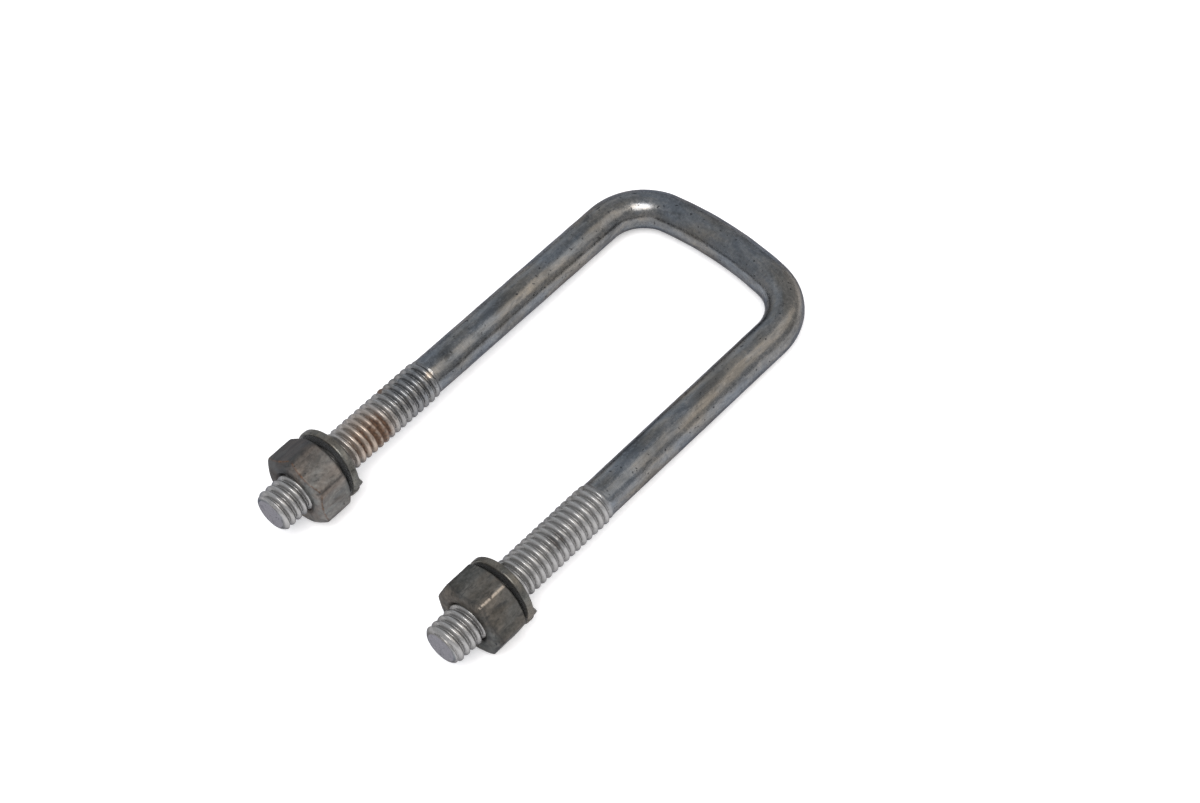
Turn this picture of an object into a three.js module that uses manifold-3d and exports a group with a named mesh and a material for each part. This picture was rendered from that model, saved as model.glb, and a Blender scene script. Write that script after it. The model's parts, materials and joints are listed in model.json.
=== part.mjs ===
// Square-bend U-bolt with two hexagon nuts and two split spring washers.
// Millimetres. The legs run along Y with their threaded tips towards -Y and the crown towards +Y,
// X goes from the left leg to the right leg, and +Z is up. The U-bolt lies on its side.

import * as THREE from 'three';
import { mergeVertices } from 'three/addons/utils/BufferGeometryUtils.js';
import Module from 'manifold-3d';

const wasm = await Module();
wasm.setup();

// ---- driving dimensions, mm and degrees ----

// A 5/16 in thread with 18 turns to the inch, right-handed, rolled on a thinner blank.
const pitch = 25.4 / 18;
const majorRadius = 3.88;
const rootRadius = 3.02;
const crestWidth = 0.28;
const threadLength = 39;
const runOutLength = 1.2 * pitch;
const tipFaceRadius = 2.85;
const tipChamferAngle = 45;

// The bar: two parallel legs joined by two tight bends and a crown that bows gently outwards.
const shankRadius = 3.5;
const legSpacing = 40.9;
const leftLegStraight = 83.8;
const rightTipOffset = -1.25;
const leftBend = { radius: 9.3, turn: 81.9 };
const rightBend = { radius: 10.6, turn: 78.4 };

// The hexagon nut, chamfered on both faces, with worn corners.
const nutAcrossFlats = 13.34;
const nutThickness = 7.1;
const nutCornerRadius = 7.45;
const nutFaceRadius = 5.85;
const nutChamferAngle = 30;
const nutThreadClearance = 0.25;
const countersinkRadius = 4.45;
const countersinkDepth = 0.9;

// The split spring washer: a ring cut once and sprung out of flat. It climbs from one end to the
// other, bows away from the nut on its upper side, and one end curls away from the nut.
const washerInnerRadius = 4.1;
const washerOuterRadius = 6.8;
const washerThickness = 1.4;
const washerGapToNut = 0.3;
const washerRise = 0.25;
const washerBowAngle = 20;
const washerBowSharpness = 2.75;
const washerSplitAngle = 102;
const washerSplitWidth = 7;
const washerTangAngle = 22;
const washerTangLift = 0.65;

// Facets: enough to read as round, few enough to stay light.
const threadFacets = 14;
const barFacets = 18;
const barStepLength = 1.9;
const latheFacets = 40;

// What differs from leg to leg. Angles are measured about +Y, from +Z towards +X.
const legs = [
  {
    side: 'left', x: -legSpacing / 2, tipY: 0, threadPhase: 0.12,
    nutFaceFromTip: 5.6, nutAngle: 86.6, washerBow: 0.85,
  },
  {
    side: 'right', x: legSpacing / 2, tipY: rightTipOffset, threadPhase: 0.87,
    nutFaceFromTip: 6.2, nutAngle: 56.0, washerBow: 0.25,
  },
];

const radians = THREE.MathUtils.degToRad;

// ---- materials ----

const zinc = { color: 0x9b9a98, roughness: 0.45, metalness: 0.9 };
const nutSteel = { color: 0x66615b, roughness: 0.6, metalness: 0.85 };
const washerSteel = { color: 0x6c706c, roughness: 0.5, metalness: 0.85 };

// ---- solids ----

// A closed geometry, as a solid that can be joined and cut.
function toSolid(geometry) {
  const bare = geometry.clone();
  bare.deleteAttribute('normal');
  bare.deleteAttribute('uv');
  const merged = mergeVertices(bare, 1e-4);
  const corners = merged.index.array;
  const kept = [];
  for (let i = 0; i < corners.length; i += 3) {
    const [a, b, c] = corners.slice(i, i + 3);
    if (a !== b && b !== c && c !== a) {
      kept.push(a, b, c);
    }
  }
  return new wasm.Manifold(new wasm.Mesh({
    numProp: 3,
    vertProperties: new Float32Array(merged.attributes.position.array),
    triVerts: new Uint32Array(kept),
  }));
}

function toMesh(solid, name, look) {
  const { vertProperties, triVerts } = solid.getMesh();
  const geometry = new THREE.BufferGeometry();
  geometry.setAttribute('position', new THREE.BufferAttribute(vertProperties, 3));
  geometry.setIndex(new THREE.BufferAttribute(triVerts, 1));
  geometry.computeVertexNormals();
  const mesh = new THREE.Mesh(geometry, new THREE.MeshStandardMaterial(look));
  mesh.name = name;
  return mesh;
}

// A solid of revolution about Y. The profile is a list of [radius, y], from axis to axis.
function turned(profile) {
  const points = profile.map(([radius, y]) => new THREE.Vector2(radius, y));
  return toSolid(new THREE.LatheGeometry(points, latheFacets));
}

// A right-handed screw about Y that covers y = 0 to length. Each turn has three rows of points:
// two along the crest and one along the root. The rows climb one pitch in one turn, so the last
// column of a turn meets the first column three rows on. Both ends are closed with a fan.
function screw(length, phase, crest, root) {
  const rowsPerTurn = 3;
  const rowRadius = [crest, crest, root];
  const rowOffset = [-crestWidth / 2, crestWidth / 2, pitch / 2];
  const turns = Math.ceil(length / pitch) + 3;
  const lastRow = turns * rowsPerTurn;
  const start = phase - 2 * pitch;
  const position = [];
  const firstOfColumn = [];
  for (let column = 0; column < threadFacets; column += 1) {
    const angle = 2 * Math.PI * column / threadFacets;
    const rows = column === 0 ? lastRow + rowsPerTurn : lastRow;
    firstOfColumn.push(position.length / 3);
    for (let row = 0; row <= rows; row += 1) {
      const kind = row % rowsPerTurn;
      const turn = (row - kind) / rowsPerTurn + column / threadFacets;
      const y = start + pitch * turn + rowOffset[kind];
      position.push(rowRadius[kind] * Math.sin(angle), y, rowRadius[kind] * Math.cos(angle));
    }
  }
  const at = (column, row) => (column < threadFacets
    ? firstOfColumn[column] + row
    : firstOfColumn[0] + row + rowsPerTurn);
  const index = [];
  for (let column = 0; column < threadFacets; column += 1) {
    for (let row = 0; row < lastRow; row += 1) {
      const [a, b] = [at(column, row), at(column + 1, row)];
      const [c, d] = [at(column + 1, row + 1), at(column, row + 1)];
      index.push(a, b, c, a, c, d);
    }
  }
  const closeEnd = (row, centreY, flip) => {
    const centre = position.length / 3;
    position.push(0, centreY, 0);
    const rim = [];
    for (let column = 0; column <= threadFacets; column += 1) {
      rim.push(at(column, row));
    }
    for (let back = rowsPerTurn - 1; back > 0; back -= 1) {
      rim.push(at(0, row + back));
    }
    rim.forEach((from, i) => {
      const to = rim[(i + 1) % rim.length];
      index.push(...(flip ? [centre, from, to] : [centre, to, from]));
    });
  };
  closeEnd(0, start + rowOffset[0], false);
  closeEnd(lastRow, start + pitch * (turns + 1) + rowOffset[0], true);
  const geometry = new THREE.BufferGeometry();
  geometry.setAttribute('position', new THREE.Float32BufferAttribute(position, 3));
  geometry.setIndex(index);
  return toSolid(geometry);
}

// ---- the bar ----

// A planar curve of stretches that each turn at a steady rate, headed along +Y at its start.
class SteadyTurns extends THREE.Curve {
  constructor(start, stretches) {
    super();
    this.start = start;
    this.stretches = stretches;
    this.total = stretches.reduce((sum, stretch) => sum + stretch.length, 0);
  }

  getPoint(t, target = new THREE.Vector3()) {
    let left = t * this.total;
    let heading = 0;
    const point = target.copy(this.start);
    for (const { length, turn } of this.stretches) {
      const step = Math.min(left, length);
      const turned = radians(turn) * step / length;
      const middle = heading + turned / 2;
      const chord = turned === 0 ? step : step * Math.sin(turned / 2) / (turned / 2);
      point.x += chord * Math.sin(middle);
      point.y += chord * Math.cos(middle);
      heading += turned;
      left -= step;
    }
    return point;
  }
}

function crownRadius() {
  const before = Math.cos(radians(leftBend.turn));
  const after = -Math.cos(radians(rightBend.turn));
  const bends = leftBend.radius * (1 - before) + rightBend.radius * (1 + after);
  return (legSpacing - bends) / (before - after);
}

// Where the right bend gives way to the straight right leg.
function rightLegTopY() {
  const before = Math.sin(radians(leftBend.turn));
  const after = Math.sin(radians(rightBend.turn));
  return leftLegStraight + leftBend.radius * before + crownRadius() * (after - before)
    - rightBend.radius * after;
}

// The plain bar, from the end of the left thread round the crown to the end of the right thread.
function plainBar() {
  const [left, right] = legs;
  const startY = left.tipY + threadLength - runOutLength / 2;
  const endY = right.tipY + threadLength - runOutLength / 2;
  const crownTurn = 180 - leftBend.turn - rightBend.turn;
  const path = new SteadyTurns(new THREE.Vector3(left.x, startY, 0), [
    { length: leftLegStraight - startY, turn: 0 },
    { length: leftBend.radius * radians(leftBend.turn), turn: leftBend.turn },
    { length: crownRadius() * radians(crownTurn), turn: crownTurn },
    { length: rightBend.radius * radians(rightBend.turn), turn: rightBend.turn },
    { length: rightLegTopY() - endY, turn: 0 },
  ]);
  const section = new THREE.Shape().absarc(0, 0, shankRadius, 0, 2 * Math.PI);
  return toSolid(new THREE.ExtrudeGeometry(section, {
    extrudePath: path,
    steps: Math.round(path.total / barStepLength),
    curveSegments: barFacets / 2,
  }));
}

// The threaded stretch of one leg: chamfered at the tip and running out into the plain bar.
function threadedLeg({ x, tipY, threadPhase }) {
  const outside = majorRadius + 0.2;
  const chamferLength = (outside - tipFaceRadius) * Math.tan(radians(tipChamferAngle));
  const envelope = turned([
    [0, 0],
    [tipFaceRadius, 0],
    [outside, chamferLength],
    [outside, threadLength - runOutLength],
    [rootRadius, threadLength + runOutLength / 2],
    [0, threadLength + runOutLength / 2],
  ]);
  const thread = screw(threadLength, threadPhase, majorRadius, rootRadius);
  return thread.intersect(envelope).translate([x, tipY, 0]);
}

function uBolt() {
  return legs.map(threadedLeg).reduce((bar, leg) => bar.add(leg), plainBar());
}

// ---- nut and washer, each placed on its leg ----

function nut({ x, tipY, threadPhase, nutFaceFromTip, nutAngle }) {
  const cornerRadius = nutAcrossFlats / Math.sqrt(3);
  const hexagon = new THREE.CylinderGeometry(cornerRadius, cornerRadius, nutThickness, 6);
  hexagon.rotateY(radians(nutAngle + 30));
  hexagon.translate(0, nutThickness / 2, 0);
  const drop = (nutCornerRadius - nutFaceRadius) * Math.tan(radians(nutChamferAngle));
  const chamfered = turned([
    [0, 0],
    [nutFaceRadius, 0],
    [nutCornerRadius, drop],
    [nutCornerRadius, nutThickness - drop],
    [nutFaceRadius, nutThickness],
    [0, nutThickness],
  ]);
  const countersink = turned([
    [0, -countersinkDepth],
    [countersinkRadius + countersinkDepth, -countersinkDepth],
    [countersinkRadius, 0],
    [countersinkRadius - countersinkDepth * Math.sqrt(3), countersinkDepth * Math.sqrt(3)],
    [0, countersinkDepth * Math.sqrt(3)],
  ]);
  const farCountersink = countersink.mirror([0, 1, 0]).translate([0, nutThickness, 0]);
  const tapped = screw(
    nutThickness + 2 * pitch,
    threadPhase - nutFaceFromTip,
    majorRadius + nutThreadClearance,
    rootRadius + nutThreadClearance,
  );
  return toSolid(hexagon)
    .intersect(chamfered)
    .subtract(countersink)
    .subtract(farCountersink)
    .subtract(tapped)
    .translate([x, tipY + nutFaceFromTip, 0]);
}

// How far the washer stands off its seat at an angle round the leg.
function washerLift(angle, turned, sweep, washerBow) {
  const towardsBow = 0.5 + 0.5 * Math.cos(angle - radians(washerBowAngle));
  return washerBow * towardsBow ** washerBowSharpness + washerRise * (1 - turned / sweep);
}

// A C-shaped blank, lifted along Y at every angle. Its end next to the split curls away.
function springWasher({ x, tipY, nutFaceFromTip, washerBow }) {
  const sweep = 360 - washerSplitWidth;
  const blank = new THREE.Shape()
    .absarc(0, 0, washerOuterRadius, 0, radians(sweep), false)
    .absarc(0, 0, washerInnerRadius, radians(sweep), 0, true);
  const geometry = new THREE.ExtrudeGeometry(blank, {
    depth: washerThickness, steps: 1, bevelEnabled: false, curveSegments: 30,
  });
  const position = geometry.attributes.position;
  for (let i = 0; i < position.count; i += 1) {
    const [u, v, depth] = [position.getX(i), position.getY(i), position.getZ(i)];
    const radius = Math.hypot(u, v);
    const turned = (THREE.MathUtils.radToDeg(Math.atan2(v, u)) + 361) % 360 - 1;
    const angle = radians(washerSplitAngle + turned - sweep);
    const toEnd = Math.max(0, 1 - (sweep - turned) / washerTangAngle);
    const tang = washerTangLift * toEnd ** 2 * depth / washerThickness;
    const lift = washerLift(angle, turned, sweep, washerBow);
    position.setXYZ(i, radius * Math.sin(angle), depth + lift + tang, radius * Math.cos(angle));
  }
  const y = tipY + nutFaceFromTip + nutThickness + washerGapToNut;
  return toSolid(geometry).translate([x, y, 0]);
}

// ---- assembly: the origin is at the middle of the underside of the whole object ----

const object = new THREE.Group();
object.add(toMesh(uBolt(), 'u_bolt', zinc));
for (const leg of legs) {
  object.add(toMesh(nut(leg), `${leg.side}_nut`, nutSteel));
  object.add(toMesh(springWasher(leg), `${leg.side}_spring_washer`, washerSteel));
}
const box = new THREE.Box3().setFromObject(object);
const middle = box.getCenter(new THREE.Vector3());
object.position.set(-middle.x, -middle.y, -box.min.z);

export default object;
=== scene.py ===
"""Looks for a square-bend U-bolt with its two nuts and two spring washers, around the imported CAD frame.

The bar, the nuts and the washers are built as fine meshes in millimetres, each in the frame of its own
leg, and moved into the row frame in metres. Angles round a leg are measured about +Y, from +Z to +X.
"""

import json
import math
from dataclasses import dataclass

import bpy
import numpy as np
from mathutils import Matrix, Vector, noise


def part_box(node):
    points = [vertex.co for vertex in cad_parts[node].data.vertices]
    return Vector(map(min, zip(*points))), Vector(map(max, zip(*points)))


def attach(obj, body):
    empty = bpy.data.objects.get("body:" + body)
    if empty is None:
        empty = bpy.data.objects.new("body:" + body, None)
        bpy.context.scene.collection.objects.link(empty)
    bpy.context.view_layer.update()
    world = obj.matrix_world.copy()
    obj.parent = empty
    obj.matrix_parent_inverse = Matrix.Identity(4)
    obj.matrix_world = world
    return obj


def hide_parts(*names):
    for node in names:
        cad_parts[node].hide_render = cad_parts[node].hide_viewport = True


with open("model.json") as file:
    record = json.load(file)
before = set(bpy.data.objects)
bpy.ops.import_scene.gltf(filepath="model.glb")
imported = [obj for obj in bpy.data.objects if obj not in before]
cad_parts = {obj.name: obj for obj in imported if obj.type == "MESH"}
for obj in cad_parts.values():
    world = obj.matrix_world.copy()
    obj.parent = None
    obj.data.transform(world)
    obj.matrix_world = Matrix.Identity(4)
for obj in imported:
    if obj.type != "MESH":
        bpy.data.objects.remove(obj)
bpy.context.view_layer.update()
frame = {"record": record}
record = frame["record"]

MM = 0.001

# ---- driving dimensions, mm and degrees ----

PITCH = 25.4 / 18
CREST_RADIUS = 3.88
ROOT_RADIUS = 3.10
THREAD_LENGTH = 38.6
RUN_OUT = 1.5 * PITCH
THREAD_PHASE = {"left": 0.12, "right": 0.87}
# The power that shapes the thread's wave. Below 1 the crests are broad and the roots narrow.
CREST_FULLNESS = 0.47
CREST_SEAM_DEPTH = 0.045
CREST_SEAM_SHARE_OF_PITCH = 0.055

SHANK_RADIUS = 3.5
LEFT_STRAIGHT = 83.8
# The radius and the angle of each bend.
LEFT_BEND = (9.3, 81.9)
RIGHT_BEND = (10.6, 78.4)
TIP_FACE_RADIUS = 2.85
TIP_SHOULDER_LENGTH = 1.0
SCRAPE_DEPTH = 0.10

NUT_ACROSS_FLATS = 13.34
NUT_CORNER_RADIUS = 7.45
NUT_FACE_RADIUS = 5.85
NUT_CHAMFER = 30
NUT_BORE_RADIUS = 3.35
NUT_BORE_CLEARANCE = 0.2
# The nut's surface is threaded where it is nearer to the axis than this.
NUT_THREAD_REACH = 3.4
COUNTERSINK_RADIUS = 4.4
COUNTERSINK_DEPTH = 0.75

WASHER_INNER = 4.1
WASHER_OUTER = 6.8
WASHER_THICKNESS = 1.4
WASHER_ROUNDING = 0.4
WASHER_GAP_TO_NUT = 0.2
WASHER_RISE = 0.25
WASHER_BOW = {"left": 0.75, "right": 0.4}
WASHER_BOW_ANGLE = 20
WASHER_BOW_SHARPNESS = 2.75
WASHER_SPLIT_ANGLE = 102
WASHER_SWEEP = 353
TANG_SWEEP = 22
TANG_LIFT = 0.85
TANG_SLANT = 3.0
START_DIP = 0.15

# ---- how fine the meshes are ----

BAR_COLUMNS = 96
RINGS_PER_PITCH = 13
THREAD_RINGS_PAST_END = 1.0
SHANK_RING_STEP = 1.1
BEND_RING_STEP = 0.5
BEND_RINGS_BEYOND = 2
END_FACE_RINGS = (0.05, 1.0, 2.0, 2.6, 2.75, 2.82)
FINE_TIP_RINGS = (0.0, 0.01, 0.03, 0.06)
NUT_COLUMNS = 240
WASHER_STATIONS = 200
POINTS_PER_ROUNDING = 5

# ---- wear and painted light: where each piece is rusty, dark, dull or bright, and where light and shade are painted ----


@dataclass
class Spot:
    """A soft-edged spot on a leg, in mm from the tip and degrees round the leg."""

    from_tip: float
    reach: float
    turn: float
    spread: float
    strength: float = 1.0
    in_grooves: float = 0.0


LEFT_RUST = [
    Spot(from_tip=23.6, reach=3.2, turn=70, spread=90, strength=0.6, in_grooves=0.9),
    Spot(from_tip=20.5, reach=4.6, turn=55, spread=80, strength=0.0, in_grooves=1.0),
    Spot(from_tip=29.6, reach=1.3, turn=-48, spread=25),
]
RIGHT_RUST = [
    Spot(from_tip=26.0, reach=2.6, turn=35, spread=45, strength=0.0, in_grooves=0.6),
]
LEFT_SMUDGES = [
    Spot(from_tip=42.0, reach=2.2, turn=22, spread=26),
    Spot(from_tip=56.0, reach=5.0, turn=10, spread=24, strength=0.7),
    Spot(from_tip=81.0, reach=1.5, turn=-12, spread=16),
]
RIGHT_SMUDGES_AND_SHADE = [
    Spot(from_tip=26.0, reach=2.4, turn=30, spread=34, strength=0.8),
    Spot(from_tip=48.0, reach=5.0, turn=-20, spread=30, strength=0.8),
    Spot(from_tip=66.0, reach=6.0, turn=15, spread=26, strength=0.6),
    # This long spot darkens the right leg along the streak where the warm light falls. It is partly the
    # leg's own dull mottled zinc and partly painted shade that dims the highlight there.
    Spot(from_tip=60.0, reach=26.0, turn=32, spread=18, strength=0.45),
]
LEFT_SCRAPE = Spot(from_tip=37.0, reach=0.9, turn=32, spread=12)
LEFT_STAIN = Spot(from_tip=21.5, reach=6.5, turn=60, spread=120)
LEFT_DULL_THREAD = Spot(from_tip=33.0, reach=8.5, turn=20, spread=150, strength=0.75)

# The threads' lighter colour is strongest along this lit side of each leg, as painted light where the
# light falls. On the far side they keep this share of it, as painted shade.
LIT_THREAD_ANGLE = 35
SHADED_THREAD_SHARE = 0.45

# How strongly each nut shows a painted highlight on the ridge that faces the light, dark ridges, dark
# chamfer edges and rusty ones, painted shade at the back chamfer edge and painted shade on one side.
NUT_RIDGE_HIGHLIGHT = {"left": 0.0, "right": 0.75}
NUT_RIDGE_GRIME = {"left": 0.8, "right": 0.5}
NUT_ARC_GRIME = {"left": 0.0, "right": 0.7}
NUT_ARC_RUST = {"left": 0.62, "right": 0.0}
NUT_BACK_EDGE_SHADE = {"left": 0.6, "right": 0.0}
NUT_SIDE_SHADE = {"left": 1.0, "right": 0.0}
LIT_RIDGE_ANGLE = 26
SHADED_SIDE_ANGLE = -45

# How strongly each washer's face towards its nut is painted lighter, as painted light in the shade of the
# gap.
WASHER_GAP_FACE_LIGHT = {"left": 1.0, "right": 0.6}

# Each piece's noise is drawn from its own place, counted by these.
NUT_SEED = {"left": 3, "right": 4}
WASHER_SEED = {"left": 11, "right": 12}

# ---- looks of the zinc ----


@dataclass
class Zinc:
    """How one piece's weathered zinc looks. Colours are linear RGB, sizes are mm."""

    dark: tuple
    middle: tuple
    light: tuple
    cool_tint: tuple
    warm_tint: tuple
    roughness: float
    metallic: float
    grain_depth: float
    pit_share: float
    scuff_share: float


LOOKS = {
    "bar": Zinc(
        dark=(0.117, 0.120, 0.124),
        middle=(0.166, 0.169, 0.174),
        light=(0.232, 0.228, 0.225),
        cool_tint=(0.92, 0.985, 1.06),
        warm_tint=(1.07, 1.0, 0.90),
        roughness=0.24,
        metallic=0.92,
        grain_depth=0.004,
        pit_share=0.06,
        scuff_share=0.25,
    ),
    "left_nut": Zinc(
        dark=(0.096, 0.090, 0.086),
        middle=(0.156, 0.147, 0.139),
        light=(0.232, 0.220, 0.209),
        cool_tint=(0.93, 1.0, 1.03),
        warm_tint=(1.08, 0.99, 0.92),
        roughness=0.46,
        metallic=0.70,
        grain_depth=0.030,
        pit_share=0.02,
        scuff_share=0.30,
    ),
    "right_nut": Zinc(
        dark=(0.060, 0.058, 0.054),
        middle=(0.100, 0.095, 0.089),
        light=(0.153, 0.145, 0.136),
        cool_tint=(0.93, 1.0, 1.03),
        warm_tint=(1.06, 1.0, 0.92),
        roughness=0.50,
        metallic=0.70,
        grain_depth=0.025,
        pit_share=0.02,
        scuff_share=0.45,
    ),
    "washer": Zinc(
        dark=(0.088, 0.087, 0.083),
        middle=(0.122, 0.119, 0.112),
        light=(0.165, 0.158, 0.147),
        cool_tint=(0.97, 1.0, 0.99),
        warm_tint=(1.06, 1.0, 0.92),
        roughness=0.28,
        metallic=0.70,
        grain_depth=0.006,
        pit_share=0.0,
        scuff_share=0.0,
    ),
}

THREAD_COLOUR = (0.37, 0.365, 0.36, 1)
# Painted shade: the thread roots and the nut's tapped bore are darkened towards this colour.
GROOVE_SHADE_COLOUR = (0.19, 0.186, 0.183, 1)
# Painted reflection: the tip's end faces are painted lighter and a little violet, standing in for the pale
# floor that they reflect.
END_FACE_REFLECTION_COLOUR = (0.29, 0.285, 0.302, 1)
# Painted light that lifts the shade in the gap between each washer and its nut.
GAP_FACE_LIGHT_COLOUR = (0.30, 0.31, 0.32, 1)
PIT_COLOUR = (0.025, 0.026, 0.03, 1)
# Dark grime and scuffs, and also the colour of the painted shade on the nuts and the right leg.
GRIME_AND_SHADE_COLOUR = (0.022, 0.024, 0.027, 1)
# Bare scraped metal, and also the painted highlight on the nut ridge that faces the light.
BARE_METAL_AND_HIGHLIGHT_COLOUR = (0.62, 0.53, 0.44, 1)
DARK_RUST = (0.036, 0.017, 0.009)
LIGHT_RUST = (0.150, 0.080, 0.046)
STAIN_TINT = (1.12, 0.94, 0.80, 1)
GRAZING_TINT = (0.30, 0.30, 0.32, 1)
SPECULAR_LEVEL = 0.3

# ---- stage and camera ----

# The pale table glows a little, so that shadows stay light and the lower sides aren't black.
FLOOR_GLOW = 0.32
FLOOR_HALF_WIDTH = 3.0
FLOOR_DROP = 0.02
WORLD_STRENGTH = 0.95
OVERHEAD = (0.29, -0.39, 0.87)
WARM_SIDE = (0.52, 0.43, 0.73)
COOL_SIDE = (-0.80, 0.30, 0.45)

CAMERA_AZIMUTH = 46.56
CAMERA_ELEVATION = 51.20
CAMERA_ROLL = -6.04
CAMERA_DISTANCE = 504.4
CAMERA_FOCAL_SHARE = 2.4512
CAMERA_TARGET = (27.036, 52.847, 0.0)

# ---- places taken from the frame ----

mounts = {m["name"]: m for m in record["mounts"]}


def leg_tip(side):
    """The middle of a leg's end face, in mm."""
    return np.array(mounts[f"{side}_leg_end"]["pos_m"]) / MM


def nut_flat_angle(side):
    x, _, z = mounts[f"{side}_nut_spanner_flat"]["axis"]
    return math.degrees(math.atan2(x, z))


def span_y(node):
    """The lowest and highest y of a CAD node, in mm."""
    low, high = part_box(node)
    return low.y / MM, high.y / MM


# ---- small numeric tools ----


def smooth_step(value, low, high):
    t = np.clip((value - low) / (high - low), 0, 1)
    return t * t * (3 - 2 * t)


def smooth_min(a, b, width):
    h = np.clip(0.5 + 0.5 * (b - a) / width, 0, 1)
    return b + (a - b) * h - width * h * (1 - h)


def bell(value, width):
    return np.exp(-((value / width) ** 2))


def facing(angle, turn):
    """From 1 where an angle in radians points along a turn in degrees to -1 where it points away."""
    return np.cos(angle - math.radians(turn))


def around_leg(radius, y, angle):
    """A list of places from radii, heights and angles round the leg's axis."""
    return np.stack([radius * np.sin(angle), y, radius * np.cos(angle)], -1).reshape(-1, 3)


def lumps(points, size, seed, shape):
    """Smooth noise between about -1 and 1 at each point, with bumps of the given size in mm."""
    shift = Vector((seed * 17.3, seed * 5.1, seed * 9.7))
    return np.array([noise.noise(Vector(p) / size + shift) for p in points]).reshape(shape)


def grid_faces(rings, columns, closed=False):
    """Quads between rings of points. In a closed grid the last ring meets the first."""
    faces = []
    for ring in range(rings if closed else rings - 1):
        here = ring * columns
        there = (ring + 1) % rings * columns
        for column in range(columns):
            beside = (column + 1) % columns
            faces.append((there + column, there + beside, here + beside, here + column))
    return faces


def capped_grid_faces(rings, columns):
    """Quads between rings of points, with the first and the last ring filled in."""
    first = tuple(range(columns))
    last = tuple((rings - 1) * columns + column for column in reversed(range(columns)))
    return [*grid_faces(rings, columns), first, last]


def make_piece(name, points, faces, own, marks, body, node, material):
    """A smooth-shaded mesh from points in mm, with its own unrolled coordinates and surface marks."""
    mesh = bpy.data.meshes.new(name)
    mesh.from_pydata((points * MM).tolist(), [], faces)
    mesh.attributes.new("own", "FLOAT_VECTOR", "POINT").data.foreach_set("vector", own.ravel())
    for mark, values in marks.items():
        mesh.attributes.new(mark, "FLOAT", "POINT").data.foreach_set("value", values.ravel())
    mesh.materials.append(material)
    mesh.polygons.foreach_set("use_smooth", [True] * len(mesh.polygons))
    mesh.update()
    piece = bpy.data.objects.new(name, mesh)
    bpy.context.scene.collection.objects.link(piece)
    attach(piece, body)
    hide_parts(node)
    return piece


# ---- the thread ----


def thread_height(turns):
    """From 0 at the root to 1 at the crest, where turns is whole on a crest. Zinc rounds both."""
    away = np.abs((turns + 0.5) % 1 - 0.5)
    return (0.5 + 0.5 * np.cos(2 * math.pi * away)) ** CREST_FULLNESS


def crest_seam(turns):
    """The shallow fold that rolling leaves along a crest."""
    return bell((turns + 0.5) % 1 - 0.5, CREST_SEAM_SHARE_OF_PITCH)


def thread_radius(height):
    return ROOT_RADIUS + (CREST_RADIUS - ROOT_RADIUS) * height


# ---- the bar ----


def crown_radius():
    """The radius of the crown, which spans what the two bends leave of the legs' spacing."""
    spacing = leg_tip("right")[0] - leg_tip("left")[0]
    before = math.cos(math.radians(LEFT_BEND[1]))
    after = -math.cos(math.radians(RIGHT_BEND[1]))
    bends = LEFT_BEND[0] * (1 - before) + RIGHT_BEND[0] * (1 + after)
    return (spacing - bends) / (before - after)


def bar_stretches():
    """(length, turn in radians) of each stretch of the centre line, from the left tip to the right."""
    left = math.radians(LEFT_BEND[1])
    right = math.radians(RIGHT_BEND[1])
    crown = math.pi - left - right
    radius = crown_radius()
    across = left + crown
    top_y = LEFT_BEND[0] * math.sin(left) + radius * (math.sin(across) - math.sin(left))
    right_top_y = leg_tip("left")[1] + LEFT_STRAIGHT + top_y - RIGHT_BEND[0] * math.sin(across)
    return [
        (LEFT_STRAIGHT, 0.0),
        (LEFT_BEND[0] * left, left),
        (radius * crown, crown),
        (RIGHT_BEND[0] * right, right),
        (right_top_y - leg_tip("right")[1], 0.0),
    ]


def centre_line(distance):
    """x, y and heading (0 along +Y, turning towards +X) at distances along the bar."""
    x = np.full_like(distance, leg_tip("left")[0])
    y = np.full_like(distance, leg_tip("left")[1])
    heading = np.zeros_like(distance)
    start = 0.0
    for length, turn in bar_stretches():
        step = np.clip(distance - start, 0, length)
        turned = turn * step / length
        middle = heading + turned / 2
        chord = step * np.sinc(turned / (2 * math.pi))
        x += chord * np.sin(middle)
        y += chord * np.cos(middle)
        heading = heading + turned
        start += length
    return x, y, heading


def bar_stations():
    """Distances of the rings along the bar: close together on threads and bends."""
    lengths = [length for length, _ in bar_stretches()]
    total = sum(lengths)
    threaded = THREAD_LENGTH + THREAD_RINGS_PAST_END
    leg_rings = np.arange(0, threaded, PITCH / RINGS_PER_PITCH)
    bends_start = lengths[0] - BEND_RINGS_BEYOND
    bends_end = total - lengths[-1] + BEND_RINGS_BEYOND
    plain = [
        np.arange(threaded, bends_start, SHANK_RING_STEP),
        np.arange(bends_start, bends_end, BEND_RING_STEP),
        np.arange(bends_end, total - threaded, SHANK_RING_STEP),
    ]
    return np.concatenate([leg_rings, *plain, total - leg_rings[::-1]]), total


def bar_rings():
    """Distances of all rings, the greatest radius of each, and the bar's length."""
    stations, total = bar_stations()
    near = np.array(FINE_TIP_RINGS)
    cap = np.array(END_FACE_RINGS)
    distance = np.concatenate([0 * cap, near, stations[1:-1], total - near[::-1], 0 * cap + total])
    open_rings = len(distance) - 2 * len(cap)
    limit = np.concatenate([cap, np.full(open_rings, math.inf), cap[::-1]])
    return distance, limit[:, None], total


def tip_limit(from_tip):
    """The radius that the tip's rounded shoulder allows."""
    rise = CREST_RADIUS + 0.1 - TIP_FACE_RADIUS
    return TIP_FACE_RADIUS + rise * np.sqrt(from_tip / TIP_SHOULDER_LENGTH)


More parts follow.
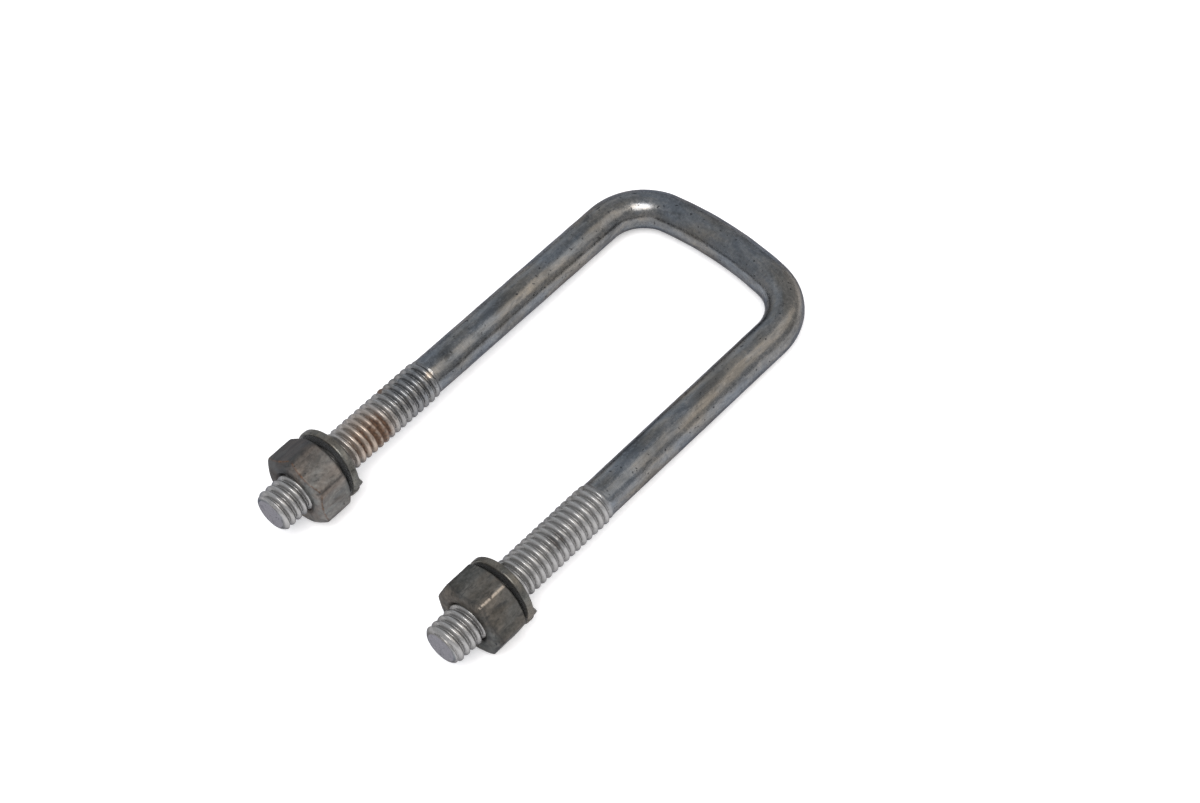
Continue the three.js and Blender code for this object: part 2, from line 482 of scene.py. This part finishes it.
def leg_surface(from_tip, angle, phase):
    """Radius of a leg, how far it is threaded, and how deep in a groove each place is."""
    turns = (from_tip - phase) / PITCH - angle / (2 * math.pi)
    height = thread_height(turns)
    threaded = 1 - smooth_step(from_tip, THREAD_LENGTH - RUN_OUT, THREAD_LENGTH)
    cut = thread_radius(height) - CREST_SEAM_DEPTH * crest_seam(turns)
    radius = SHANK_RADIUS + (cut - SHANK_RADIUS) * threaded
    radius = smooth_min(radius, tip_limit(from_tip), 0.1)
    return radius, threaded, (1 - height) * threaded


def spot_share(spot, from_tip, angle, groove):
    """The spot's strength in its middle, falling to 0 at its reach."""
    off = np.degrees((angle - math.radians(spot.turn) + math.pi) % (2 * math.pi) - math.pi)
    away = np.sqrt(((from_tip - spot.from_tip) / spot.reach) ** 2 + (off / spot.spread) ** 2)
    return np.clip(1.6 - 1.6 * away, 0, 1) * (spot.strength + spot.in_grooves * groove)


def leg_marks(on_left, from_tip, angle, threaded, groove):
    """Rust, stain and dull places on the threads, dark smudges on the zinc with painted shade along the
    right leg's lit streak, one scraped spot, and the threads' lighter colour, painted lighter on the side
    that faces the light.
    """

    def strongest(spots):
        return np.maximum.reduce([spot_share(spot, from_tip, angle, groove) for spot in spots])

    # Painted light: the threads are lighter on the side that faces the light and darker away from it.
    lit_side = smooth_step(facing(angle, LIT_THREAD_ANGLE), -0.1, 0.75)
    dulled = strongest([LEFT_DULL_THREAD]) * on_left
    past_edge = smooth_step(from_tip, 0.0, 0.25)
    bright_thread = threaded * past_edge * (1 - dulled)
    return {
        "rust": np.where(on_left, strongest(LEFT_RUST), strongest(RIGHT_RUST)),
        "smudge_and_shade": np.where(on_left, strongest(LEFT_SMUDGES), strongest(RIGHT_SMUDGES_AND_SHADE)),
        "scraped": strongest([LEFT_SCRAPE]) * on_left,
        "stain": strongest([LEFT_STAIN]) * on_left,
        "threaded": bright_thread * (SHADED_THREAD_SHARE + (1 - SHADED_THREAD_SHARE) * lit_side),
        "groove": groove,
    }


def bent_points(distance, radius, angle):
    """Places round the bent centre line, in mm."""
    x, y, heading = (value[:, None] for value in centre_line(distance))
    side = radius * np.sin(angle)
    height = leg_tip("left")[2] + radius * np.cos(angle)
    places = [x + side * np.cos(heading), y - side * np.sin(heading), height]
    return np.stack(places, -1).reshape(-1, 3)


def build_bar(material):
    distance, limit, total = bar_rings()
    around = 2 * math.pi * np.arange(BAR_COLUMNS) / BAR_COLUMNS
    along, angle = np.meshgrid(distance, around, indexing="ij")
    on_left = along < total / 2
    from_tip = np.where(on_left, along, total - along)
    # On the far leg the bar heads back towards its tip, so its angle runs the other way.
    leg_angle = np.where(on_left, angle, -angle)
    phase = np.where(on_left, THREAD_PHASE["left"], THREAD_PHASE["right"])
    radius, threaded, groove = leg_surface(from_tip, leg_angle, phase)
    radius = np.minimum(radius, limit)
    own = around_leg(radius, along, angle)
    marks = leg_marks(on_left, from_tip, leg_angle, threaded, groove)
    marks["end_face"] = np.isfinite(limit) * np.ones_like(radius)
    uneven = 0.030 * lumps(own, 2.6, 1, radius.shape) + 0.007 * lumps(own, 0.9, 2, radius.shape)
    radius = np.minimum(radius + uneven - SCRAPE_DEPTH * marks["scraped"], limit)
    points = bent_points(distance, radius, angle)
    faces = capped_grid_faces(len(distance), BAR_COLUMNS)
    return make_piece("bar", points, faces, own, marks, "u_bolt", "u_bolt", material)


# ---- the nuts ----


def rounding_reach(corners, softness, i):
    """How far from a corner its rounding starts, short of half of either side."""
    before = np.linalg.norm(corners[i - 1] - corners[i])
    after = np.linalg.norm(corners[(i + 1) % len(corners)] - corners[i])
    return min(softness[i], before / 2.2, after / 2.2)


def softened(corners, softness, samples):
    """A closed outline of corners with each one rounded, and samples[i] points on the side after it."""
    outline = []
    for i, corner in enumerate(corners):
        ahead = (i + 1) % len(corners)
        before = corners[i - 1] - corner
        after = corners[ahead] - corner
        reach = rounding_reach(corners, softness, i)
        start = corner + before / np.linalg.norm(before) * reach
        end = corner + after / np.linalg.norm(after) * reach
        for t in np.linspace(0, 1, POINTS_PER_ROUNDING):
            outline.append((1 - t) ** 2 * start + 2 * t * (1 - t) * corner + t**2 * end)
        next_reach = rounding_reach(corners, softness, ahead)
        goal = corners[ahead] - after / np.linalg.norm(after) * next_reach
        for step in range(1, samples[i] + 1):
            outline.append(end + (goal - end) * step / (samples[i] + 1))
    return np.array(outline)


def hexagon_radius(angle, flat_angle):
    """The nut's outer radius at an angle with its six ridges worn round, and the angle off a flat."""
    off = (angle - math.radians(flat_angle) + math.pi / 6) % (math.pi / 3) - math.pi / 6
    return smooth_min(NUT_ACROSS_FLATS / 2 / np.cos(off), NUT_CORNER_RADIUS, 0.16), off


def nut_outline(reach, drop, thickness):
    """The nut's wall at one angle as [radius, y] points, where the chamfer drops by so much."""
    corners = np.array([
        [reach, drop],
        [reach, thickness - drop],
        [NUT_FACE_RADIUS, thickness],
        [COUNTERSINK_RADIUS, thickness],
        [NUT_BORE_RADIUS, thickness - COUNTERSINK_DEPTH],
        [NUT_BORE_RADIUS, COUNTERSINK_DEPTH],
        [COUNTERSINK_RADIUS, 0],
        [NUT_FACE_RADIUS, 0],
    ])
    softness = [0.20, 0.30, 0.5, 0.15, 0.05, 0.05, 0.15, 0.5]
    samples = [12, 4, 2, 2, 56, 2, 2, 4]
    return softened(corners, softness, samples)


def tapped_radius(side, y, angle):
    """Radius of the nut's own thread, which follows its leg's thread with a little clearance."""
    turns = (y - leg_tip(side)[1] - THREAD_PHASE[side]) / PITCH - angle / (2 * math.pi)
    return thread_radius(thread_height(turns)) + NUT_BORE_CLEARANCE


def nut_marks(side, radius, angle, off, over_front, over_back, inside):
    """A painted highlight on the ridge that faces the light, grimy ridges, grimy or rusty chamfer edges,
    painted shade on one side and at the back edge, and the thread, darkened as painted shade.
    """
    on_ridge = smooth_step(np.abs(np.degrees(off))[:, None] + 0 * radius, 27.6, 29.6)
    on_side = smooth_step(radius, NUT_ACROSS_FLATS / 2 - 0.1, NUT_ACROSS_FLATS / 2)
    ridges = on_ridge * on_side
    # Painted highlight: the ridge that faces the light is painted in the bright bare-metal colour.
    lit_ridge = ridges * smooth_step(facing(angle, LIT_RIDGE_ANGLE), 0.8, 0.95) * NUT_RIDGE_HIGHLIGHT[side]
    on_front_edge = bell(over_front, 0.22) * (1 - on_ridge)
    grime_and_shade_places = [
        (ridges - lit_ridge) * NUT_RIDGE_GRIME[side],
        # Painted shade on the nut's side away from the light.
        smooth_step(facing(angle, SHADED_SIDE_ANGLE), 0.4, 0.85) * NUT_SIDE_SHADE[side],
        on_front_edge * NUT_ARC_GRIME[side],
        # Painted shade at the back chamfer edge, where the nut meets its washer.
        bell(over_back, 0.3) * NUT_BACK_EDGE_SHADE[side],
    ]
    return {
        # Painted shade: the whole tapped bore is darkened as a groove.
        "groove": inside * 1.0,
        "edge": lit_ridge,
        "grime_and_shade": np.maximum.reduce(grime_and_shade_places),
        "rust": on_front_edge * NUT_ARC_RUST[side],
    }


def build_nut(side, material):
    tip = leg_tip(side)
    low_y, high_y = span_y(f"{side}_nut")
    thickness = high_y - low_y
    around = 2 * math.pi * np.arange(NUT_COLUMNS) / NUT_COLUMNS
    outer, off = hexagon_radius(around, nut_flat_angle(side))
    drops = (outer - NUT_FACE_RADIUS) * math.tan(math.radians(NUT_CHAMFER))
    section = np.array([nut_outline(reach, drop, thickness) for reach, drop in zip(outer, drops)])
    radius, y = section[..., 0], section[..., 1]
    angle = np.repeat(around[:, None], radius.shape[1], 1)
    inside = radius < NUT_THREAD_REACH
    radius = np.where(inside, np.maximum(radius, tapped_radius(side, low_y + y, angle)), radius)
    flat = around_leg(radius, y, angle)
    seed = NUT_SEED[side]
    large = 0.035 * lumps(flat, 2.8, seed, radius.shape)
    small = 0.012 * lumps(flat, 0.8, seed + 4, radius.shape)
    endwise = 0.02 * lumps(flat, 2.2, seed + 8, radius.shape)
    radius = np.where(inside, radius, radius + large + small)
    y = y + np.where(inside, 0, endwise)
    points = around_leg(radius, low_y + y, angle) + [tip[0], 0, tip[2]]
    own = around_leg(radius, y + 40 * seed, angle)
    over_front = y - drops[:, None]
    over_back = thickness - y - drops[:, None]
    marks = nut_marks(side, radius, angle, off, over_front, over_back, inside)
    # Each quad starts one corner back, which makes it split along its other diagonal.
    faces = [face[-1:] + face[:-1] for face in grid_faces(*radius.shape, closed=True)]
    name = f"{side}_hexagon_nut"
    node = f"{side}_nut"
    return make_piece(name, points, faces, own, marks, node, node, material)


# ---- the spring washers ----


def washer_section():
    """A rounded rectangle as (share of the width, share of the thickness) in order."""
    width = WASHER_OUTER - WASHER_INNER
    corners = np.array([[0, 0], [width, 0], [width, WASHER_THICKNESS], [0, WASHER_THICKNESS]])
    outline = softened(corners, [WASHER_ROUNDING] * 4, [6] * 4)
    return outline / [width, WASHER_THICKNESS]


def washer_lift(side, angle, turned):
    """How far the sprung washer stands off its seat, at angles in radians and degrees turned."""
    towards_bow = 0.5 + 0.5 * facing(angle, WASHER_BOW_ANGLE)
    return WASHER_BOW[side] * towards_bow**WASHER_BOW_SHARPNESS + WASHER_RISE * (1 - turned / WASHER_SWEEP)


def build_washer(side, material):
    tip = leg_tip(side)
    seat_y = span_y(f"{side}_nut")[1] + WASHER_GAP_TO_NUT
    section = washer_section()
    stations = np.linspace(0, WASHER_SWEEP, WASHER_STATIONS)
    turned, wide = np.meshgrid(stations, section[:, 0], indexing="ij")
    _, thick = np.meshgrid(stations, section[:, 1], indexing="ij")
    to_end = np.clip(1 - (WASHER_SWEEP - turned) / TANG_SWEEP, 0, 1) ** 2
    to_start = np.clip(1 - turned / TANG_SWEEP, 0, 1) ** 2
    radius = WASHER_INNER + (WASHER_OUTER - WASHER_INNER) * wide
    slant = TANG_SLANT * to_end * (0.5 - thick)
    angle = np.radians(WASHER_SPLIT_ANGLE + turned - WASHER_SWEEP + slant)
    y = WASHER_THICKNESS * thick + washer_lift(side, angle, turned)
    y = y + TANG_LIFT * to_end * thick - START_DIP * to_start * (1 - thick)
    seed = WASHER_SEED[side]
    radius = radius + 0.025 * lumps(around_leg(radius, y, angle), 1.8, seed, radius.shape)
    points = around_leg(radius, seat_y + y, angle) + [tip[0], 0, tip[2]]
    own = around_leg(radius, y + 30 * seed, angle)
    # Painted light: the washer's face towards its nut, in the shade of the gap, is painted lighter, short
    # of its outer corner.
    nut_side = (1 - smooth_step(thick, 0.04, 0.16)) * (1 - smooth_step(wide, 0.78, 0.92))
    marks = {"gap_face_light": nut_side * WASHER_GAP_FACE_LIGHT[side]}
    faces = capped_grid_faces(*radius.shape)
    name = f"{side}_split_washer"
    body = f"{side}_washer"
    node = f"{side}_spring_washer"
    return make_piece(name, points, faces, own, marks, body, node, material)


# ---- material tools ----


def add(tree, kind, inputs=None, **settings):
    """A shader node. Each input is a socket to link or a value to set."""
    made = tree.nodes.new(kind)
    for name, value in settings.items():
        setattr(made, name, value)
    for name, value in (inputs or {}).items():
        if isinstance(value, bpy.types.NodeSocket):
            tree.links.new(value, made.inputs[name])
        else:
            made.inputs[name].default_value = value
    return made


def calc(tree, operation, a, b=0.0, clamp=False):
    return add(tree, "ShaderNodeMath", {0: a, 1: b}, operation=operation, use_clamp=clamp).outputs[0]


def blend_colour(tree, share, a, b, mode="MIX"):
    made = add(tree, "ShaderNodeMix", {0: share, 6: a, 7: b}, data_type="RGBA", blend_type=mode)
    return made.outputs[2]


def remap(tree, value, low, high, new_low=0.0, new_high=1.0):
    inputs = {0: value, 1: low, 2: high, 3: new_low, 4: new_high}
    return add(tree, "ShaderNodeMapRange", inputs, interpolation_type="SMOOTHSTEP").outputs[0]


def mark(tree, name, share=1.0):
    """A surface mark of the mesh, at a share of its strength."""
    strength = add(tree, "ShaderNodeAttribute", attribute_name=name).outputs["Fac"]
    return calc(tree, "MULTIPLY", strength, share)


def own_place(tree, scale=(1.0, 1.0, 1.0), turn=(0.0, 0.0, 0.0)):
    """The piece's unrolled coordinates in mm. A scale below 1 draws marks out in that direction."""
    place = add(tree, "ShaderNodeAttribute", attribute_name="own").outputs["Vector"]
    inputs = {"Vector": place, "Rotation": turn, "Scale": scale}
    return add(tree, "ShaderNodeMapping", inputs).outputs[0]


def cloud(tree, place, size, detail=3.0, roughness=0.55, distortion=0.0):
    """Noise whose blotches are about size across, in the units of the place."""
    inputs = {
        "Vector": place,
        "Scale": 1 / size,
        "Detail": detail,
        "Roughness": roughness,
        "Distortion": distortion,
    }
    return add(tree, "ShaderNodeTexNoise", inputs).outputs["Fac"]


def ramp(tree, share, stops):
    made = add(tree, "ShaderNodeValToRGB", {0: share})
    elements = made.color_ramp.elements
    while len(elements) < len(stops):
        elements.new(0.5)
    for element, (position, colour) in zip(elements, stops):
        element.position = position
        element.color = (*colour, 1)
    return made.outputs[0]


# ---- the zinc ----

DRAWN_ALONG_LEG = (1.0, 0.35, 1.0)
SCUFF_SCALE = (1.0, 0.22, 0.6)
SCUFF_TURN = (0.5, 0.3, 0.8)


def zinc_colour(tree, look, grain):
    """Clouds of darker and lighter grey, tinted cool in some places and warm in others."""
    drawn = own_place(tree, DRAWN_ALONG_LEG)
    clouds = cloud(tree, drawn, 2.6, 5, 0.66, 0.8)
    mixed = calc(tree, "ADD", calc(tree, "MULTIPLY", clouds, 0.65), calc(tree, "MULTIPLY", grain, 0.35))
    grey = ramp(tree, mixed, [(0.38, look.dark), (0.50, look.middle), (0.63, look.light)])
    hue = cloud(tree, drawn, 4.5, 3, 0.6)
    tint = ramp(tree, hue, [(0.38, look.cool_tint), (0.62, look.warm_tint)])
    return blend_colour(tree, 1.0, grey, tint, "MULTIPLY")


def scuffs_in(tree):
    """Faint crossing strokes, as steel parts rubbing in a bin leave on each other."""
    slanted = own_place(tree, SCUFF_SCALE, SCUFF_TURN)
    return remap(tree, cloud(tree, slanted, 0.7, 4, 0.6, 1.2), 0.53, 0.66)


def pits_in(tree, look):
    """Small dark pits, a few of them drawn out along the bar."""
    small = cloud(tree, own_place(tree), 0.85, 2, 0.5)
    long = cloud(tree, own_place(tree, DRAWN_ALONG_LEG), 1.2, 3, 0.6)
    edge = 0.73 - look.pit_share
    return calc(
        tree, "MAXIMUM", remap(tree, small, edge, edge + 0.05), remap(tree, long, edge, edge + 0.06)
    )


def rust_in(tree, grain):
    """Rust eats its way in from the marked places with a ragged edge. Gives its share and colour."""
    ragged = calc(tree, "SUBTRACT", cloud(tree, own_place(tree), 0.7, 5, 0.7), 0.5)
    reach = calc(tree, "ADD", mark(tree, "rust"), calc(tree, "MULTIPLY", ragged, 1.2))
    marked = calc(tree, "GREATER_THAN", mark(tree, "rust"), 0.02)
    share = calc(tree, "MULTIPLY", remap(tree, reach, 0.25, 0.85), marked)
    colour = ramp(tree, grain, [(0.38, DARK_RUST), (0.62, LIGHT_RUST)])
    return calc(tree, "MULTIPLY", share, 0.88), colour


def marked_colour(tree, look, grain):
    """The zinc's colour with its threads, grooves darkened as painted shade, end faces lightened as a
    painted reflection, washer faces in the nut's gap lightened as painted light, and stains.
    """
    colour = zinc_colour(tree, look, grain)
    for name, share, over in [
        ("threaded", 0.88, THREAD_COLOUR),
        ("groove", 0.5, GROOVE_SHADE_COLOUR),
        ("end_face", 0.9, END_FACE_REFLECTION_COLOUR),
        ("gap_face_light", 0.9, GAP_FACE_LIGHT_COLOUR),
    ]:
        colour = blend_colour(tree, mark(tree, name, share), colour, over)
    stained = blend_colour(tree, 1.0, colour, STAIN_TINT, "MULTIPLY")
    return blend_colour(tree, mark(tree, "stain"), colour, stained)


def colour_with_wear_and_painted_light(tree, look, grain, colour, plain, pits):
    """A colour under scuffs, pits, smudges, grime and bare worn metal, in that order, where the smudges
    and the grime hold painted shade and the bare metal a painted highlight.
    """
    scuffs = calc(tree, "MULTIPLY", scuffs_in(tree), plain)
    # Smudges darken the zinc in mottled places. On the right leg's lit streak they are partly painted
    # shade.
    smudges_and_shade = calc(tree, "MULTIPLY", mark(tree, "smudge_and_shade"), remap(tree, grain, 0.34, 0.54))
    # The edge mark is a painted highlight on a nut's lit ridge. The scraped spot is real bare metal.
    bare_and_highlight = calc(tree, "MULTIPLY", mark(tree, "edge"), remap(tree, grain, 0.36, 0.52))
    bare_and_highlight = calc(tree, "MAXIMUM", bare_and_highlight, mark(tree, "scraped"))
    for place, share, over in [
        (scuffs, look.scuff_share, GRIME_AND_SHADE_COLOUR),
        (pits, 0.8, PIT_COLOUR),
        (smudges_and_shade, 0.7, GRIME_AND_SHADE_COLOUR),
        # Grime on the nuts, with painted shade on one side and at the back chamfer edge.
        (mark(tree, "grime_and_shade"), 0.58, GRIME_AND_SHADE_COLOUR),
        (bare_and_highlight, 0.8, BARE_METAL_AND_HIGHLIGHT_COLOUR),
    ]:
        colour = blend_colour(tree, calc(tree, "MULTIPLY", place, share), colour, over)
    return colour


def zinc_roughness(tree, look, grain, rust):
    """Rougher where there is rust, and a little on the threads."""
    roughness = remap(tree, grain, 0.3, 0.7, look.roughness - 0.05, look.roughness + 0.07)
    roughness = calc(tree, "ADD", roughness, calc(tree, "MULTIPLY", rust, 0.3))
    return calc(tree, "ADD", roughness, mark(tree, "threaded", 0.06))


def zinc_metallic(tree, look, rust):
    """Less metallic where there is rust, and a little on the threads."""
    dull = calc(tree, "MAXIMUM", calc(tree, "MULTIPLY", rust, 0.8), mark(tree, "threaded", 0.15))
    return calc(tree, "SUBTRACT", look.metallic, dull, clamp=True)


def zinc_relief(tree, look, grain, plain, pits):
    """Fine grain that fades on the threads, and pits sunk below it."""
    speckle = cloud(tree, own_place(tree), 0.2, 2, 0.5)
    height = calc(tree, "ADD", grain, calc(tree, "MULTIPLY", speckle, 0.25))
    height = calc(tree, "MULTIPLY", height, calc(tree, "ADD", plain, 0.2))
    height = calc(tree, "SUBTRACT", height, calc(tree, "MULTIPLY", pits, 2.5))
    inputs = {"Height": height, "Distance": look.grain_depth * MM, "Strength": 1.0}
    return add(tree, "ShaderNodeBump", inputs).outputs[0]


def galvanised(name, look):
    """Weathered hot-dip zinc: clouded grey, fine grain, pits, grime, rust and bare worn places, with
    painted shade, painted light and a painted highlight laid into the colour.
    """
    material = bpy.data.materials.new(name)
    material.use_nodes = True
    tree = material.node_tree
    surface = tree.nodes["Principled BSDF"]
    grain = cloud(tree, own_place(tree), 0.55, 4, 0.6)
    plain = calc(tree, "SUBTRACT", 1.0, mark(tree, "threaded", 0.85))
    pits = calc(tree, "MULTIPLY", pits_in(tree, look), plain)
    rust, rust_colour = rust_in(tree, grain)
    colour = marked_colour(tree, look, grain)
    colour = colour_with_wear_and_painted_light(tree, look, grain, colour, plain, pits)
    colour = blend_colour(tree, rust, colour, rust_colour)
    tree.links.new(colour, surface.inputs["Base Color"])
    tree.links.new(zinc_roughness(tree, look, grain, rust), surface.inputs["Roughness"])
    tree.links.new(zinc_metallic(tree, look, rust), surface.inputs["Metallic"])
    tree.links.new(zinc_relief(tree, look, grain, plain, pits), surface.inputs["Normal"])
    surface.inputs["Specular Tint"].default_value = GRAZING_TINT
    surface.inputs["Specular IOR Level"].default_value = SPECULAR_LEVEL
    return material


# ---- stage, lights and camera ----


def resting_place():
    """A point on the plane that the object rests on, and its normal: two nuts and the crown touch it."""
    left_low, left_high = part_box("left_nut")
    right_low, right_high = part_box("right_nut")
    bar_low, bar_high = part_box("u_bolt")
    bar_bottom = leg_tip("left")[2] * MM - SHANK_RADIUS * MM
    left = Vector(((left_low.x + left_high.x) / 2, left_high.y - 1 * MM, left_low.z))
    right = Vector(((right_low.x + right_high.x) / 2, right_high.y - 1 * MM, right_low.z))
    crown = Vector((0, bar_high.y - SHANK_RADIUS * MM, bar_bottom))
    normal = (right - left).cross(crown - left).normalized()
    return (left + right) / 2, normal


def pale_material():
    material = bpy.data.materials.new("pale_floor")
    material.use_nodes = True
    tree = material.node_tree
    surface = tree.nodes["Principled BSDF"]
    fine = cloud(tree, add(tree, "ShaderNodeTexCoord").outputs["Object"], 0.004, 4)
    pale = ramp(tree, fine, [(0.3, (0.92, 0.92, 0.94)), (0.7, (0.95, 0.95, 0.97))])
    tree.links.new(pale, surface.inputs["Base Color"])
    surface.inputs["Roughness"].default_value = 0.8
    surface.inputs["Emission Color"].default_value = (1, 1, 1, 1)
    surface.inputs["Emission Strength"].default_value = FLOOR_GLOW
    return material


def build_floor():
    """A wide pale floor through the three places where the object touches it."""
    half = FLOOR_HALF_WIDTH
    mesh = bpy.data.meshes.new("floor")
    corners = [(-half, -half, 0), (half, -half, 0), (half, half, 0), (-half, half, 0)]
    mesh.from_pydata(corners, [], [(0, 1, 2, 3)])
    mesh.materials.append(pale_material())
    floor = bpy.data.objects.new("floor", mesh)
    touched, normal = resting_place()
    tilt = normal.to_track_quat("Z", "Y").to_matrix().to_4x4()
    floor.matrix_world = Matrix.Translation(touched - normal * FLOOR_DROP * MM) @ tilt
    bpy.context.scene.collection.objects.link(floor)


def build_world():
    """An even room, a little cooler above. The camera itself sees it as a pale background."""
    world = bpy.data.worlds.new("studio")
    world.use_nodes = True
    tree = world.node_tree
    background = tree.nodes["Background"]
    direction = add(tree, "ShaderNodeTexCoord").outputs["Generated"]
    up = add(tree, "ShaderNodeSeparateXYZ", {0: direction}).outputs["Z"]
    share = remap(tree, up, -0.1, 1.0)
    room = ramp(tree, share, [(0.0, (0.60, 0.60, 0.61)), (1.0, (0.60, 0.63, 0.67))])
    tree.links.new(room, background.inputs["Color"])
    background.inputs["Strength"].default_value = WORLD_STRENGTH
    pale = add(tree, "ShaderNodeBackground", {"Color": (0.95, 0.95, 0.95, 1), "Strength": 1.0})
    seen = add(tree, "ShaderNodeLightPath").outputs["Is Camera Ray"]
    both = add(tree, "ShaderNodeMixShader", {0: seen, 1: background.outputs[0], 2: pale.outputs[0]})
    tree.links.new(both.outputs[0], tree.nodes["World Output"].inputs[0])
    bpy.context.scene.world = world


def place_lamp(lamp, direction, distance, power, colour):
    """Hang a lamp so that it faces the object from a direction."""
    lamp.energy = power
    lamp.color = colour
    away = Vector(direction).normalized()
    lamp_object = bpy.data.objects.new(lamp.name, lamp)
    lamp_object.location = away * distance
    lamp_object.rotation_euler = away.to_track_quat("Z", "Y").to_euler()
    bpy.context.scene.collection.objects.link(lamp_object)


def add_softbox(name, direction, distance, size, power, colour):
    """A square area light in metres and watts."""
    lamp = bpy.data.lights.new(name, "AREA")
    lamp.shape = "RECTANGLE"
    lamp.size, lamp.size_y = size
    place_lamp(lamp, direction, distance, power, colour)


def add_glow(name, direction, spread, strength, colour):
    """A wide soft light, many degrees across, that reaches the whole floor evenly."""
    lamp = bpy.data.lights.new(name, "SUN")
    lamp.angle = math.radians(spread)
    place_lamp(lamp, direction, 1.0, strength, colour)


def build_lights():
    add_glow("overhead_glow", OVERHEAD, 34, 1.9, (1.0, 0.97, 0.94))
    add_softbox("warm_side_softbox", WARM_SIDE, 0.8, (0.76, 0.5), 1.3, (1.0, 0.89, 0.76))
    add_softbox("cool_side_softbox", COOL_SIDE, 1.0, (0.6, 0.6), 0.4, (0.80, 0.90, 1.0))


def build_camera():
    """The camera looks at a point given from the left leg's tip, in mm."""
    azimuth, elevation = math.radians(CAMERA_AZIMUTH), math.radians(CAMERA_ELEVATION)
    back = Vector((
        math.sin(azimuth) * math.cos(elevation),
        -math.cos(azimuth) * math.cos(elevation),
        math.sin(elevation),
    ))
    data = bpy.data.cameras.new("camera")
    data.sensor_width = 36.0
    data.lens = CAMERA_FOCAL_SHARE * data.sensor_width
    data.clip_start = 0.01
    camera = bpy.data.objects.new("camera", data)
    target = (Vector(leg_tip("left")) + Vector(CAMERA_TARGET)) * MM
    level = back.to_track_quat("Z", "Y").to_matrix().to_4x4()
    roll = Matrix.Rotation(math.radians(CAMERA_ROLL), 4, "Z")
    camera.matrix_world = Matrix.Translation(target + back * CAMERA_DISTANCE * MM) @ level @ roll
    bpy.context.scene.collection.objects.link(camera)
    bpy.context.scene.camera = camera


# ---- the whole picture ----

build_camera()
build_bar(galvanised("zinc_bar", LOOKS["bar"]))
washer_zinc = galvanised("zinc_washer", LOOKS["washer"])
for leg_side in ("left", "right"):
    build_nut(leg_side, galvanised(f"zinc_{leg_side}_nut", LOOKS[f"{leg_side}_nut"]))
    build_washer(leg_side, washer_zinc)
build_floor()
build_world()
build_lights()
bpy.context.scene.view_settings.view_transform = "Standard"
